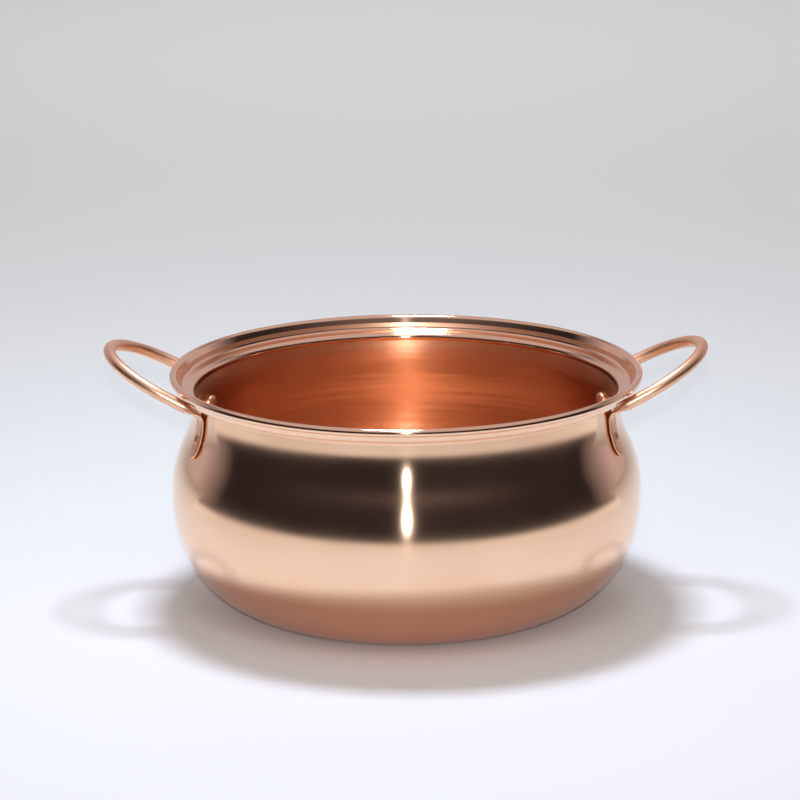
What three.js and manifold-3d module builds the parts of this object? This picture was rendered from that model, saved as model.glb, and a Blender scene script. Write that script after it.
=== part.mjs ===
// Copper soup pot: one spun vessel with a rolled rim and a lid ledge, two bent rod handles and
// the four rivets that hold them. Millimetres, +Z up, origin at the middle of the base underside,
// handles along X.

import * as THREE from 'three';
import { mergeVertices } from 'three/addons/utils/BufferGeometryUtils.js';
import Module from 'manifold-3d';

// Vessel sizes
const SHEET = 1.4;                // copper sheet thickness
const RIM_RADIUS = 120;           // outside of the rolled rim
const POT_HEIGHT = 122;           // base to the top of the rolled rim
const CURL_BORE = 0.6;            // radius of the hollow left inside the rolled rim
const CURL_TURN = 235;            // degrees that the rim is rolled over
const GALLERY_INSET = 6.5;        // outside of the rim in to where the lid ledge meets the flared wall
const GALLERY_DEPTH = 6.9;        // top of the rim down to the outer edge of the lid ledge
const LEDGE_FALL = 0.9;           // how far the ledge slopes down towards the throat
const FOLD_BORE = 1.4;            // inner radius of the two folds that make the ledge
const NECK_INSET = 11.7;          // outside of the rim in to the outside of the neck
const NECK_DROP = 15;             // top of the rim down to where the shoulder becomes the straight neck
const BELLY_RADIUS = 119.6;       // outside of the belly at its widest
const BELLY_HEIGHT = 59.6;        // height of the widest place
const BASE_RADIUS = 68;           // flat of the base

// Curve fullness, as a share of each curve's own run
const HEEL_FLATNESS = 0.56;
const HEEL_STEEPNESS = 0.62;
const BELLY_FULLNESS = 0.5;
const NECK_FULLNESS = 0.42;

// Handle sizes
const ROD_DIAMETER = 6;           // round rod of the loop
const LOOP_RADIUS = 36;           // bend of the loop, at the middle of the rod
const LOOP_STAND = 30;            // outside of the rim to the middle of the rod at the tip of the loop
const LOOP_TILT = 28;             // degrees that the loop rises from level
const LEG_SPREAD = 1.5;           // how much wider than the loop each leg stands at its bend
const TAB_WIDTH = 9;              // rod end beaten flat
const TAB_THICKNESS = 1.8;
const TAB_CROWN = 0.4;            // exponent of the tab's section across its width; 1 is an ellipse
const TAB_EDGE = 0.85;            // exponent of the tab's section through its thickness
const TAB_LENGTH = 21.8;          // from the bend down to the rounded end
const TAB_END = 6;                // length of the rounded end
const FLATTEN_LENGTH = 10;         // leg from the bend to where the rod is round again
const BEND_RADIUS = 4;            // bend between leg and tab, at mid thickness
const BEND_RISE = 0.9;            // corner of the bend above the top of the shoulder

// Rivet sizes
const RIVET_DROP = 12.6;          // corner of the bend down to the rivet
const RIVET_DIAMETER = 3.6;       // shank
const INNER_HEAD_DIAMETER = 9.4;
const INNER_HEAD_HEIGHT = 3.6;
const OUTER_HEAD_DIAMETER = 5;
const OUTER_HEAD_HEIGHT = 0.9;

// Clearances
const SEAT_GAP = 0.3;             // between faces that rest on each other
const HOLE_CLEARANCE = 0.3;       // shank to hole, on the radius

// Facets
const TURN_STEPS = 60;            // round the vessel
const RIVET_STEPS = 18;           // round a rivet
const SECTION_STEPS = 16;         // round the handle rod

const COPPER = { color: 0xd9946c, roughness: 0.18, metalness: 1 };

const HALF_SHEET = SHEET / 2;
const HALF_TAB = TAB_THICKNESS / 2;
const NECK_RADIUS = RIM_RADIUS - NECK_INSET;
const NECK_HEIGHT = POT_HEIGHT - NECK_DROP;
const radians = THREE.MathUtils.degToRad;

const wasm = await Module();
wasm.setup();

// A closed solid for cutting, made from a geometry whose shared vertices are merged.
function solidOf(geometry) {
  const bare = geometry.clone();
  bare.deleteAttribute('normal');
  bare.deleteAttribute('uv');
  const merged = mergeVertices(bare);
  const triangles = [];
  const index = merged.index.array;
  for (let i = 0; i < index.length; i += 3) {
    const [a, b, c] = [index[i], index[i + 1], index[i + 2]];
    if (a !== b && b !== c && c !== a) triangles.push(a, b, c);
  }
  return new wasm.Manifold(new wasm.Mesh({
    numProp: 3,
    vertProperties: new Float32Array(merged.attributes.position.array),
    triVerts: new Uint32Array(triangles),
  }));
}

// A geometry made back from a cut solid.
function geometryOf(solid) {
  const mesh = solid.getMesh();
  const geometry = new THREE.BufferGeometry();
  geometry.setAttribute('position', new THREE.BufferAttribute(mesh.vertProperties, 3));
  geometry.setIndex(new THREE.BufferAttribute(mesh.triVerts, 1));
  geometry.computeVertexNormals();
  return geometry;
}

// A profile of (radius, height) points turned about the Z axis.
function turned(profile, steps) {
  return new THREE.LatheGeometry(profile, steps).rotateX(Math.PI / 2);
}

function namedMesh(name, geometry) {
  const mesh = new THREE.Mesh(geometry, new THREE.MeshStandardMaterial(COPPER));
  mesh.name = name;
  return mesh;
}

// Sheet middle line, as curves of (radius, height)
const point = (radius, height) => new THREE.Vector2(radius, height);

const baseCentre = point(0, HALF_SHEET);
const baseEdge = point(BASE_RADIUS, HALF_SHEET);
const bellySide = point(BELLY_RADIUS - HALF_SHEET, BELLY_HEIGHT);
const neckSide = point(NECK_RADIUS - HALF_SHEET, NECK_HEIGHT);
const heelRun = bellySide.clone().sub(baseEdge);
const shoulderRun = NECK_HEIGHT - BELLY_HEIGHT;

const heel = new THREE.CubicBezierCurve(
  baseEdge,
  point(baseEdge.x + HEEL_FLATNESS * heelRun.x, baseEdge.y),
  point(bellySide.x, bellySide.y - HEEL_STEEPNESS * heelRun.y),
  bellySide,
);
const shoulder = new THREE.CubicBezierCurve(
  bellySide,
  point(bellySide.x, bellySide.y + BELLY_FULLNESS * shoulderRun),
  point(neckSide.x, neckSide.y - NECK_FULLNESS * shoulderRun),
  neckSide,
);

// Ledge corners, and the rolled rim that the flared wall runs into
const foldRadius = FOLD_BORE + HALF_SHEET;
const curlRadius = CURL_BORE + HALF_SHEET;
const beadRadius = CURL_BORE + SHEET;
const curlCentre = point(RIM_RADIUS - beadRadius, POT_HEIGHT - beadRadius);
const galleryCorner = point(
  RIM_RADIUS - GALLERY_INSET + HALF_SHEET,
  POT_HEIGHT - GALLERY_DEPTH - HALF_SHEET,
);
const throatCorner = point(neckSide.x, galleryCorner.y - LEDGE_FALL);

const toCurl = curlCentre.clone().sub(galleryCorner);
const flareAngle = toCurl.angle() + Math.asin(curlRadius / toCurl.length());
const curlStart = flareAngle + Math.PI / 2;
const curlFoot = point(Math.cos(curlStart), Math.sin(curlStart)).multiplyScalar(curlRadius).add(curlCentre);

// The arc that rounds a corner of the middle line, between the points before and after it.
function fold(before, corner, after, radius) {
  const arriving = corner.clone().sub(before).normalize();
  const leaving = after.clone().sub(corner).normalize();
  const turn = Math.atan2(arriving.cross(leaving), arriving.dot(leaving));
  const reach = radius * Math.tan(Math.abs(turn) / 2);
  const side = Math.sign(turn);
  const start = corner.clone().addScaledVector(arriving, -reach);
  const inward = point(-arriving.y, arriving.x).multiplyScalar(side * radius);
  const centre = start.clone().add(inward);
  const from = inward.clone().negate().angle();
  const arc = new THREE.ArcCurve(centre.x, centre.y, radius, from, from + turn, turn < 0);
  return { arc, start, end: corner.clone().addScaledVector(leaving, reach) };
}

const throatFold = fold(neckSide, throatCorner, galleryCorner, foldRadius);
const galleryFold = fold(throatCorner, galleryCorner, curlFoot, foldRadius);
const curl = new THREE.ArcCurve(
  curlCentre.x, curlCentre.y, curlRadius, curlStart, curlStart - radians(CURL_TURN), true,
);

const middleLine = [
  { curve: new THREE.LineCurve(baseCentre, baseEdge), steps: 1 },
  { curve: heel, steps: 9 },
  { curve: shoulder, steps: 8 },
  { curve: new THREE.LineCurve(neckSide, throatFold.start), steps: 1 },
  { curve: throatFold.arc, steps: 3 },
  { curve: new THREE.LineCurve(throatFold.end, galleryFold.start), steps: 1 },
  { curve: galleryFold.arc, steps: 2 },
  { curve: new THREE.LineCurve(galleryFold.end, curlFoot), steps: 1 },
  { curve: curl, steps: 9 },
];

// A point of a curve moved sideways; the right-hand side is the outside of the pot.
function beside(curve, t, distance) {
  const tangent = curve.getTangent(t);
  return curve.getPoint(t).add(point(tangent.y, -tangent.x).multiplyScalar(distance));
}

function vesselProfile() {
  const outside = [beside(middleLine[0].curve, 0, HALF_SHEET)];
  const inside = [beside(middleLine[0].curve, 0, -HALF_SHEET)];
  for (const { curve, steps } of middleLine) {
    for (let i = 1; i <= steps; i += 1) {
      outside.push(beside(curve, i / steps, HALF_SHEET));
      inside.push(beside(curve, i / steps, -HALF_SHEET));
    }
  }
  return [...outside, ...inside.reverse()];
}

// Where the outside of the shoulder or neck is at a height, and the way it faces there.
function wallAt(height) {
  if (height >= NECK_HEIGHT) {
    return { place: point(NECK_RADIUS, height), facing: point(1, 0) };
  }
  const halvings = 40;
  let [low, high] = [0, 1];
  for (let i = 0; i < halvings; i += 1) {
    const middle = (low + high) / 2;
    if (beside(shoulder, middle, HALF_SHEET).y < height) low = middle;
    else high = middle;
  }
  const tangent = shoulder.getTangent(low);
  return { place: beside(shoulder, low, HALF_SHEET), facing: point(tangent.y, -tangent.x) };
}

// Handle middle line: tab up the shoulder and neck, bend, straight leg, half of the loop
const bendHeight = NECK_HEIGHT + BEND_RISE;
const bendRadiusFromAxis = NECK_RADIUS + SEAT_GAP + HALF_TAB;
const tabAzimuth = Math.asin((LOOP_RADIUS + LEG_SPREAD) / bendRadiusFromAxis);
const outward = new THREE.Vector3(Math.cos(tabAzimuth), Math.sin(tabAzimuth), 0);
const upward = new THREE.Vector3(0, 0, 1);

// A place over the tab's azimuth, from its radius and height.
const overTab = (radius, height) => outward.clone().multiplyScalar(radius).addScaledVector(upward, height);

const bendCorner = overTab(bendRadiusFromAxis, bendHeight);
const alongLoop = new THREE.Vector3(Math.cos(radians(LOOP_TILT)), 0, Math.sin(radians(LOOP_TILT)));
const underLoop = new THREE.Vector3(Math.sin(radians(LOOP_TILT)), 0, -Math.cos(radians(LOOP_TILT)));

// The loop's plane holds both bend corners; its centre is measured along the slope from there.
const tipRun = (RIM_RADIUS + LOOP_STAND - bendCorner.x) / alongLoop.x;
const centreRun = tipRun - LOOP_RADIUS;
const loopCentre = new THREE.Vector3(bendCorner.x, 0, bendHeight).addScaledVector(alongLoop, centreRun);
const cornerAngle = Math.atan2(bendCorner.y, -centreRun);
const legAngle = cornerAngle - Math.acos(LOOP_RADIUS / Math.hypot(bendCorner.y, centreRun));

function loopPoint(angle) {
  const place = loopCentre.clone().addScaledVector(alongLoop, LOOP_RADIUS * Math.cos(angle));
  place.y = LOOP_RADIUS * Math.sin(angle);
  return place;
}

// Stations along half of the handle, from the rounded tab end to the tip of the loop. Each has a
// place, the way its underside faces, and how flat (1) or round (0) and how wide the rod is there.
function halfHandle() {
  const stations = [];
  const legEnd = loopPoint(legAngle);
  const leg = legEnd.clone().sub(bendCorner);
  const legLength = leg.length();
  leg.normalize();
  const bendTurn = leg.angleTo(upward);
  const bendReach = BEND_RADIUS * Math.tan(bendTurn / 2);
  const tabTop = bendHeight - bendReach;
  const tabEnd = bendHeight - TAB_LENGTH;

  const endSteps = 4;
  for (let i = 0; i < endSteps; i += 1) {
    const drop = TAB_END * (1 - Math.sin((i + 0.5) / endSteps * Math.PI / 2));
    const across = Math.sqrt(1 - (drop / TAB_END) ** 2);
    const height = tabEnd + TAB_END - drop;
    stations.push({ ...tabStation(height), width: across });
  }
  const tabSteps = 4;
  for (let i = 0; i <= tabSteps; i += 1) {
    const height = THREE.MathUtils.lerp(tabEnd + TAB_END, tabTop, i / tabSteps);
    stations.push({ ...tabStation(height), width: 1 });
  }

  const bendEnd = bendCorner.clone().addScaledVector(leg, bendReach);
  const bend = new THREE.QuadraticBezierCurve3(tabStation(tabTop).place, bendCorner, bendEnd);
  const bendSteps = 5;
  for (let i = 1; i <= bendSteps; i += 1) {
    const share = i / bendSteps;
    const under = outward.clone().lerp(underLoop, share).normalize();
    stations.push({ place: bend.getPoint(share), under, flat: 1, width: 1 });
  }

  const flatness = (run) => 1 - THREE.MathUtils.smoothstep(run, bendReach, FLATTEN_LENGTH);
  const legSteps = 6;
  for (let i = 1; i <= legSteps; i += 1) {
    const run = THREE.MathUtils.lerp(bendReach, legLength, i / legSteps);
    const place = bendCorner.clone().addScaledVector(leg, run);
    stations.push({ place, under: underLoop, flat: flatness(run), width: 1 });
  }

  const loopSteps = 9;
  for (let i = 1; i <= loopSteps; i += 1) {
    const angle = legAngle * (1 - i / loopSteps);
    const run = legLength + LOOP_RADIUS * (legAngle - angle);
    stations.push({ place: loopPoint(angle), under: underLoop, flat: flatness(run), width: 1 });
  }
  return stations;
}

// The tab lies on the wall, a seat gap and half its own thickness away.
function tabStation(height) {
  const { place, facing } = wallAt(height);
  const middle = place.clone().addScaledVector(facing, SEAT_GAP + HALF_TAB);
  const under = outward.clone().multiplyScalar(facing.x).addScaledVector(upward, facing.y);
  return { place: overTab(middle.x, middle.y), under, flat: 1 };
}

// The rod's outline at a station: a circle that grows wide and thin as the rod is beaten flat.
function sectionRing(station, tangent) {
  const across = tangent.clone().cross(station.under).normalize();
  const under = across.clone().cross(tangent).normalize();
  const halfWidth = THREE.MathUtils.lerp(ROD_DIAMETER, TAB_WIDTH, station.flat) / 2 * station.width;
  const halfThickness = THREE.MathUtils.lerp(ROD_DIAMETER, TAB_THICKNESS, station.flat) / 2;
  const crown = THREE.MathUtils.lerp(1, TAB_CROWN, station.flat);
  const edge = THREE.MathUtils.lerp(1, TAB_EDGE, station.flat);
  const ring = [];
  for (let i = 0; i < SECTION_STEPS; i += 1) {
    const angle = (i / SECTION_STEPS) * 2 * Math.PI;
    const [c, s] = [Math.cos(angle), Math.sin(angle)];
    const x = halfWidth * Math.sign(c) * Math.abs(c) ** crown;
    const y = halfThickness * Math.sign(s) * Math.abs(s) ** edge;
    ring.push(station.place.clone().addScaledVector(across, x).addScaledVector(under, y));
  }
  return ring;
}

function handleGeometry() {
  const half = halfHandle();
  const mirrored = half.slice(0, -1).reverse().map((station) => ({
    ...station,
    place: station.place.clone().multiply(new THREE.Vector3(1, -1, 1)),
    under: station.under.clone().multiply(new THREE.Vector3(1, -1, 1)),
  }));
  const stations = [...half, ...mirrored];
  const positions = [];
  const faces = [];
  stations.forEach((station, i) => {
    const before = stations[Math.max(i - 1, 0)].place;
    const after = stations[Math.min(i + 1, stations.length - 1)].place;
    const tangent = after.clone().sub(before).normalize();
    for (const corner of sectionRing(station, tangent)) positions.push(corner.x, corner.y, corner.z);
  });
  for (let i = 0; i + 1 < stations.length; i += 1) {
    for (let j = 0; j < SECTION_STEPS; j += 1) {
      const next = (j + 1) % SECTION_STEPS;
      const [a, b] = [i * SECTION_STEPS + j, i * SECTION_STEPS + next];
      const [c, d] = [a + SECTION_STEPS, b + SECTION_STEPS];
      faces.push(a, d, b, a, c, d);
    }
  }
  const last = (stations.length - 1) * SECTION_STEPS;
  for (let j = 1; j + 1 < SECTION_STEPS; j += 1) {
    faces.push(0, j, j + 1, last, last + j + 1, last + j);
  }
  const geometry = new THREE.BufferGeometry();
  geometry.setAttribute('position', new THREE.Float32BufferAttribute(positions, 3));
  geometry.setIndex(faces);
  return geometry;
}

// Rivets stand square to the wall, a domed head inside the pot and a low one on the tab.
const rivetSeat = wallAt(bendHeight - RIVET_DROP);
const rivetTilt = Math.PI / 2 - rivetSeat.facing.angle();
const innerSeat = -SHEET - SEAT_GAP;
const outerSeat = SEAT_GAP + TAB_THICKNESS + SEAT_GAP;

function dome(radius, height, base, direction) {
  const steps = 4;
  const points = [];
  for (let i = 0; i <= steps; i += 1) {
    const angle = (i / steps) * Math.PI / 2;
    points.push(point(radius * Math.cos(angle), base + direction * height * Math.sin(angle)));
  }
  points[steps].x = 0;
  return points;
}

function rivetGeometry() {
  const shank = RIVET_DIAMETER / 2;
  return turned([
    ...dome(INNER_HEAD_DIAMETER / 2, INNER_HEAD_HEIGHT, innerSeat, -1).reverse(),
    point(shank, innerSeat),
    point(shank, outerSeat),
    ...dome(OUTER_HEAD_DIAMETER / 2, OUTER_HEAD_HEIGHT, outerSeat, 1),
  ], RIVET_STEPS);
}

function holeCutter() {
  const radius = RIVET_DIAMETER / 2 + HOLE_CLEARANCE;
  const length = 2 * (outerSeat - innerSeat);
  return new THREE.CylinderGeometry(radius, radius, length, RIVET_STEPS).rotateX(Math.PI / 2);
}

// A pivot at one azimuth whose child stands on the wall with its own Z along the rivet.
function onWall(azimuth, child) {
  const pivot = new THREE.Group();
  pivot.rotation.z = azimuth;
  child.position.set(rivetSeat.place.x, 0, rivetSeat.place.y);
  child.rotation.y = rivetTilt;
  pivot.add(child);
  return pivot;
}

// A geometry with a rivet hole cut through it at each azimuth.
function drilled(geometry, azimuths) {
  let solid = solidOf(geometry);
  for (const azimuth of azimuths) {
    const cutter = new THREE.Mesh(holeCutter());
    onWall(azimuth, cutter).updateMatrixWorld(true);
    solid = solid.subtract(solidOf(cutter.geometry.applyMatrix4(cutter.matrixWorld)));
  }
  return geometryOf(solid);
}

const pot = new THREE.Group();
pot.name = 'copper_soup_pot';

const handleSides = [
  { side: 'right', turn: 0 },
  { side: 'left', turn: Math.PI },
];
const tabAzimuths = [-tabAzimuth, tabAzimuth];
const allAzimuths = handleSides.flatMap(({ turn }) => tabAzimuths.map((azimuth) => turn + azimuth));
pot.add(namedMesh('vessel', drilled(turned(vesselProfile(), TURN_STEPS), allAzimuths)));

for (const { side, turn } of handleSides) {
  const handle = namedMesh(`handle_${side}`, drilled(handleGeometry(), tabAzimuths));
  handle.rotation.z = turn;
  pot.add(handle);
  for (const azimuth of tabAzimuths) {
    const end = Math.sin(turn + azimuth) < 0 ? 'front' : 'back';
    pot.add(onWall(turn + azimuth, namedMesh(`rivet_${side}_${end}`, rivetGeometry())));
  }
}

export default pot;
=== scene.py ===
"""Copper soup pot: the looks of a spun copper vessel with riveted rod handles, and a plain studio.

Metres, +Z up, origin at the middle of the underside of the base, handles along X.
"""

import logging
from collections.abc import Callable
from dataclasses import dataclass, replace
from enum import Enum
from functools import partial
from math import acos, asin, atan2, copysign, cos, hypot, pi, radians, sin, tan, tau

import bpy
from bpy.types import Material, Mesh, Node, NodeSocket, NodeTree, Object
from mathutils import Matrix, Vector


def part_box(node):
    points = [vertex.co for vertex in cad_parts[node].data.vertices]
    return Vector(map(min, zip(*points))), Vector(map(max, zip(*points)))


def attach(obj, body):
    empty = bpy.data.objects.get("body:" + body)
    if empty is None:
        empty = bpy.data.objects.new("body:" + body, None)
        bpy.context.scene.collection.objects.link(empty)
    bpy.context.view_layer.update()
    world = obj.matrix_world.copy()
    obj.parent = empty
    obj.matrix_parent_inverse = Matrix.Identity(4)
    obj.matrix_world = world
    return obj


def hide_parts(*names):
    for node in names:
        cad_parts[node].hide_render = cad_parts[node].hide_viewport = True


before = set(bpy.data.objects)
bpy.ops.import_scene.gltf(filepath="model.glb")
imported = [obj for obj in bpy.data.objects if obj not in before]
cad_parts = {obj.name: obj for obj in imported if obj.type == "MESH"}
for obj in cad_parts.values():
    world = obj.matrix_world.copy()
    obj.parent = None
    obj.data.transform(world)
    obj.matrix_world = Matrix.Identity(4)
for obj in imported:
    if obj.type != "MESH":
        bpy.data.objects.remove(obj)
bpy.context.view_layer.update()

LOG = logging.getLogger("soup_pot")
MM = 0.001
RIGHT = Vector((1, 0, 0))
BACK = Vector((0, 1, 0))
UP = Vector((0, 0, 1))
WHITE = (1.0, 1.0, 1.0, 1.0)
# The function add_node, bound to one tree
AddNode = Callable[..., Node]
# Sockets of a Mix node between colours, by number because those for other data have the same names
MIX_FROM, MIX_TO, MIXED = 6, 7, 2


class Side(Enum):
    """Side of the pot that a handle stands on, with its turn about Z."""

    RIGHT = 0.0
    LEFT = pi


# Node trees and meshes


def linear(hex_colour: str) -> tuple[float, float, float, float]:
    """Turn an sRGB hex colour into linear values with full alpha.

    Args:
        hex_colour: Six hex digits, such as "F8CEAD".

    Returns:
        Linear red, green, blue and an alpha of 1.
    """
    shares = [int(hex_colour[i:i + 2], 16) / 255 for i in (0, 2, 4)]
    red, green, blue = [s / 12.92 if s <= 0.04045 else ((s + 0.055) / 1.055) ** 2.4 for s in shares]
    return red, green, blue, 1.0


def add_node(tree: NodeTree, kind: str, inputs: dict | None = None, **settings: object) -> Node:
    """Add a node, set its options and fill its sockets.

    Args:
        tree: Tree that gets the node.
        kind: Blender's name for the type of node.
        inputs: Socket name or number, with a value to set, or an output or node to link. A node is
            linked by its first output.
        settings: Options of the node.

    Returns:
        The new node.
    """
    node = tree.nodes.new(kind)
    for name, value in settings.items():
        setattr(node, name, value)
    for key, value in (inputs or {}).items():
        if isinstance(value, Node):
            value = value.outputs[0]
        if isinstance(value, NodeSocket):
            tree.links.new(value, node.inputs[key])
        else:
            node.inputs[key].default_value = value
    return node


def new_material(name: str) -> tuple[Material, AddNode]:
    """Start a material with an empty tree.

    Args:
        name: Name of the material.

    Returns:
        The material and the function that adds nodes to it.
    """
    made = bpy.data.materials.new(name)
    made.use_nodes = True
    made.node_tree.nodes.clear()
    return made, partial(add_node, made.node_tree)


def new_geometry_tree(name: str, inputs: dict[str, str]) -> tuple[NodeTree, AddNode, Node]:
    """Start a Geometry Nodes tree with a geometry input, named inputs and a geometry output.

    Args:
        name: Name of the tree.
        inputs: Name of each further input, with its socket type.

    Returns:
        The tree, the function that adds nodes to it, and its Group Input node.
    """
    tree = bpy.data.node_groups.new(name, "GeometryNodeTree")
    tree.interface.new_socket("Geometry", in_out="INPUT", socket_type="NodeSocketGeometry")
    for socket, kind in inputs.items():
        tree.interface.new_socket(socket, in_out="INPUT", socket_type=kind)
    tree.interface.new_socket("Geometry", in_out="OUTPUT", socket_type="NodeSocketGeometry")
    add = partial(add_node, tree)
    return tree, add, add("NodeGroupInput")


def run_tree(name: str, start: Mesh, tree: NodeTree, inputs: dict) -> Object:
    """Run a Geometry Nodes tree on a mesh and keep the result as a plain mesh object.

    Args:
        name: Name of the object.
        start: Mesh that the tree starts from.
        tree: Tree to run.
        inputs: Values of the tree's named inputs.

    Returns:
        The object, with no modifier left on it.
    """
    made = bpy.data.objects.new(name, start)
    modifier = made.modifiers.new("shape", "NODES")
    modifier.node_group = tree
    for item in tree.interface.items_tree:
        if item.in_out == "INPUT" and item.name in inputs:
            modifier[item.identifier] = inputs[item.name]
    bpy.context.scene.collection.objects.link(made)
    graph = bpy.context.evaluated_depsgraph_get()
    shaped = made.evaluated_get(graph)
    mesh = bpy.data.meshes.new_from_object(shaped, preserve_all_data_layers=True, depsgraph=graph)
    made.modifiers.remove(modifier)
    made.data = mesh
    mesh.name = name
    return made


def dress(piece: Object, slot: str, *nodes: str) -> None:
    """Make a finished piece stand for its CAD nodes and ride on the pot.

    Args:
        piece: Finished mesh object.
        slot: Material slot of the record; not used.
        nodes: CAD nodes that the piece stands for.
    """
    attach(piece, "root")
    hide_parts(*nodes)
    LOG.info("%s: %d faces, stands for %s", piece.name, len(piece.data.polygons), ", ".join(nodes))


# Sections lofted along a line


@dataclass(frozen=True)
class Station:
    """One place along a loft, with the section that stands there."""

    place: Vector
    across: Vector  # way along the width of the section
    under: Vector  # way along its thickness
    half_width: float
    half_thickness: float
    power_across: float = 1.0  # exponent that squares it along its width, 1 for round
    power_under: float = 1.0  # exponent that squares it along its thickness, 1 for round
    flat: float = 0.0  # 1 where the metal is beaten flat
    second: float = 0.0  # 1 where the piece has its second finish

    @classmethod
    def turned(cls, point: Vector, second: bool = False) -> "Station":
        """A round section about Z, from its radius and height."""
        radius = max(point.x, 0.0)
        return cls(UP * point.y, RIGHT, BACK, radius, radius, second=float(second))


class Loft:
    """Geometry Nodes tree that sweeps a round or squared section along a row of stations."""

    VECTORS = ("place", "across", "under")
    NUMBERS = (
        "half_width", "half_thickness", "power_across", "power_under", "flat", "second", "along",
    )
    READ_LATER = "flat"  # the value of the stations that a material reads
    SHARP_ANGLE = radians(50)
    WELD = 0.002 * MM
    HALFWAY = 0.5  # between stations of the first finish and of the second

    def __init__(self) -> None:
        """Build the tree once, for every loft of the pot."""
        self.tree, self.add, group = new_geometry_tree("section_loft", {
            "Section Steps": "NodeSocketInt",
            "Material": "NodeSocketMaterial",
            "Second Material": "NodeSocketMaterial",
        })
        kinds = dict.fromkeys(self.VECTORS, "FLOAT_VECTOR")
        kinds.update(dict.fromkeys((*self.NUMBERS, "turn"), "FLOAT"))
        self.stored = {}
        for name, kind in kinds.items():
            node = self.add("GeometryNodeInputNamedAttribute", {"Name": name}, data_type=kind)
            self.stored[name] = node.outputs["Attribute"]
        swept = self._sweep(group)
        shaped = self._shape(swept)
        self._finish(group, shaped)

    def _sweep(self, group: Node) -> Node:
        """Sweep a small circle along the line, each of its points knowing its turn.

        Args:
            group: Group Input node.

        Returns:
            Node of the mesh with the stations' values and the turn on its points.
        """
        steps = group.outputs["Section Steps"]
        circle = self.add("GeometryNodeCurvePrimitiveCircle", {"Resolution": steps, "Radius": MM})
        index = self.add("GeometryNodeInputIndex")
        share = self.add("ShaderNodeMath", {0: index, 1: steps}, operation="DIVIDE")
        turn = self.add("ShaderNodeMath", {0: share, 1: tau}, operation="MULTIPLY")
        section = self.add("GeometryNodeStoreNamedAttribute", {
            "Geometry": circle, "Name": "turn", "Value": turn,
        }, data_type="FLOAT", domain="POINT")
        line = self.add("GeometryNodeMeshToCurve", {"Mesh": group.outputs["Geometry"]})
        return self.add("GeometryNodeCurveToMesh", {
            "Curve": line, "Profile Curve": section, "Fill Caps": True,
        })

    def _coordinate(self, wave: str, half_size: str, power: str) -> Node:
        """One coordinate of the squared section.

        Args:
            wave: COSINE or SINE of the turn.
            half_size: Name of the half size in that direction.
            power: Name of the exponent that squares the section in that direction.

        Returns:
            Node of the distance from the middle of the section.
        """
        value = self.add("ShaderNodeMath", {0: self.stored["turn"]}, operation=wave)
        sign = self.add("ShaderNodeMath", {0: value}, operation="SIGN")
        size = self.add("ShaderNodeMath", {0: value}, operation="ABSOLUTE")
        for operation, factor in (
            ("POWER", self.stored[power]), ("MULTIPLY", sign), ("MULTIPLY", self.stored[half_size]),
        ):
            size = self.add("ShaderNodeMath", {0: size, 1: factor}, operation=operation)
        return size

    def _shape(self, swept: Node) -> Node:
        """Move every point to its place on its own section, and keep its straightened coordinates.

        Args:
            swept: Node of the swept mesh.

        Returns:
            Node of the mesh in its final place.
        """
        x = self._coordinate("COSINE", "half_width", "power_across")
        y = self._coordinate("SINE", "half_thickness", "power_under")
        straight = self.add("ShaderNodeCombineXYZ", {"X": x, "Y": y, "Z": self.stored["along"]})
        kept = self.add("GeometryNodeStoreNamedAttribute", {
            "Geometry": swept, "Name": "straight", "Value": straight,
        }, data_type="FLOAT_VECTOR", domain="POINT")
        sideways, down = (
            self.add("ShaderNodeVectorMath", {
                0: self.stored[way], "Scale": reach,
            }, operation="SCALE")
            for way, reach in (("across", x), ("under", y))
        )
        offset = self.add("ShaderNodeVectorMath", {0: sideways, 1: down}, operation="ADD")
        place = self.add("ShaderNodeVectorMath", {
            0: self.stored["place"], 1: offset,
        }, operation="ADD")
        return self.add("GeometryNodeSetPosition", {"Geometry": kept, "Position": place})

    def _finish(self, group: Node, shaped: Node) -> None:
        """Close poles, smooth the faces and set the materials.

        Args:
            group: Group Input node.
            shaped: Node of the mesh in its final place.
        """
        welded = self.add("GeometryNodeMergeByDistance", {
            "Geometry": shaped, "Distance": self.WELD,
        })
        smooth = self.add("GeometryNodeSetShadeSmooth", {0: welded}, domain="FACE")
        angle = self.add("GeometryNodeInputMeshEdgeAngle").outputs["Unsigned Angle"]
        bent, marked = (
            self.add("ShaderNodeMath", {0: value, 1: limit}, operation="GREATER_THAN")
            for value, limit in (
                (angle, self.SHARP_ANGLE), (self.stored["second"], self.HALFWAY),
            )
        )
        sharp = self.add("GeometryNodeSetShadeSmooth", {
            0: smooth, "Selection": bent, "Shade Smooth": False,
        }, domain="EDGE")
        solid = self.add("GeometryNodeRealizeInstances", {"Geometry": sharp})
        first = self.add("GeometryNodeSetMaterial", {
            "Geometry": solid, "Material": group.outputs["Material"],
        })
        second = self.add("GeometryNodeSetMaterial", {
            "Geometry": first, "Selection": marked, "Material": group.outputs["Second Material"],
        })
        self.add("NodeGroupOutput", {0: second})

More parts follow.
